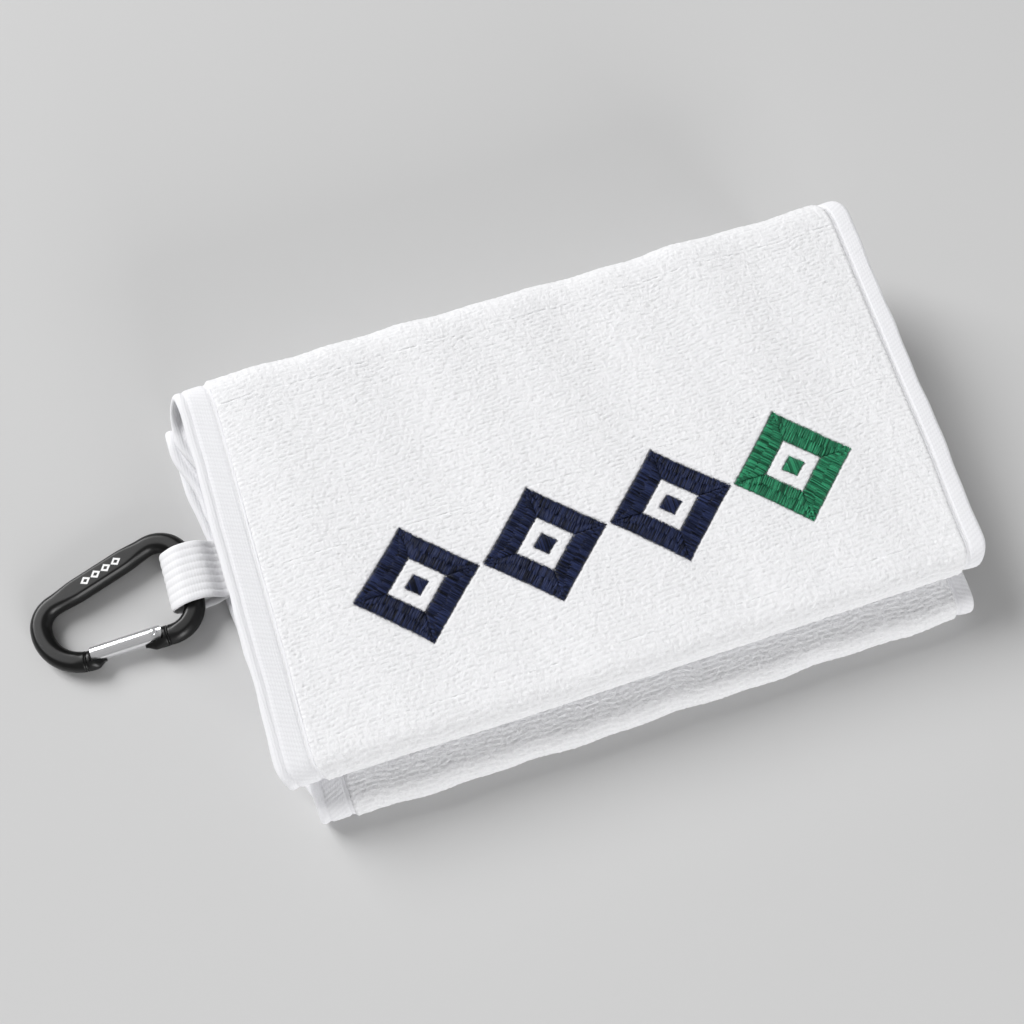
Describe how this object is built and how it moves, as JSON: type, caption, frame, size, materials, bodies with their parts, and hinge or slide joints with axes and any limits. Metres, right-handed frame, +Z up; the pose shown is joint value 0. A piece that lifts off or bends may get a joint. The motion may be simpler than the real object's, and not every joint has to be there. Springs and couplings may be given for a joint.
{
  "type": "golf towel",
  "caption": "White terry golf towel folded into a flat stack, embroidered row of diamonds, webbing loop at one side hem holding a black snap clip with a sprung gate.",
  "frame": {"origin": "middle of the folded towel's width and depth, on the surface that the towel lies on", "axes": "+X along the folds from the loop side to the plain side, +Y from the front rolls to the far folds, +Z up"},
  "size_m": [0.3931, 0.187, 0.0569],
  "materials": {
    "terry_cotton": "looped cotton pile, matte",
    "flat_woven_hem": "ribbed flat weave, matte",
    "white_thread": "spun polyester thread",
    "backing_felt": "non-woven felt",
    "navy_thread": "satin-stitched rayon thread",
    "green_thread": "satin-stitched rayon thread",
    "ribbed_webbing": "ribbed woven webbing",
    "black_anodised_aluminium": "black anodised, satin gloss",
    "bright_aluminium": "bright drawn tube",
    "rivet_aluminium": "polished",
    "spring_steel": "drawn wire"
  },
  "bodies": {
    "towel": {"towel_cloth": "terry_cotton", "left_hem_band": "flat_woven_hem", "right_hem_band": "flat_woven_hem", "left_hem_stitching": "white_thread", "right_hem_stitching": "white_thread", "upper_end_hem": "flat_woven_hem", "lower_end_hem": "flat_woven_hem", "upper_end_stitching": "white_thread", "lower_end_stitching": "white_thread", "embroidery_backing": "backing_felt", "loop_bar_tack": "white_thread", "embroidered_diamond_1": "navy_thread", "embroidered_diamond_2": "navy_thread", "embroidered_diamond_3": "navy_thread", "embroidered_diamond_4": "green_thread", "embroidered_pip_1": "navy_thread", "embroidered_pip_2": "navy_thread", "embroidered_pip_3": "navy_thread", "embroidered_pip_4": "green_thread"},
    "loop": {"hanging_loop": "ribbed_webbing"},
    "clip": {"clip_frame": "black_anodised_aluminium", "gate_rivet": "rivet_aluminium"},
    "gate": {"clip_gate": "bright_aluminium", "gate_spring": "spring_steel", "gate_plunger": "spring_steel"}
  },
  "joints": [
    {"name": "loop_lift", "type": "hinge", "parent": "towel", "child": "loop", "pos_m": [-0.1599, 0.0249, 0.004], "axis": [0, 1, 0], "range_deg": [0, 35]},
    {"name": "clip_swing", "type": "hinge", "parent": "loop", "child": "clip", "pos_m": [-0.1728, 0.0249, 0.0069], "axis": [0, 1, 0], "range_deg": [0, 60]},
    {"name": "gate_open", "type": "hinge", "parent": "clip", "child": "gate", "pos_m": [-0.19218, 0.0054, 0.00611], "axis": [0.041, 0, -0.9992], "range_deg": [0, 24], "stiffness_Nm_per_rad": 0.06, "springref_deg": -8.59}
  ]
}
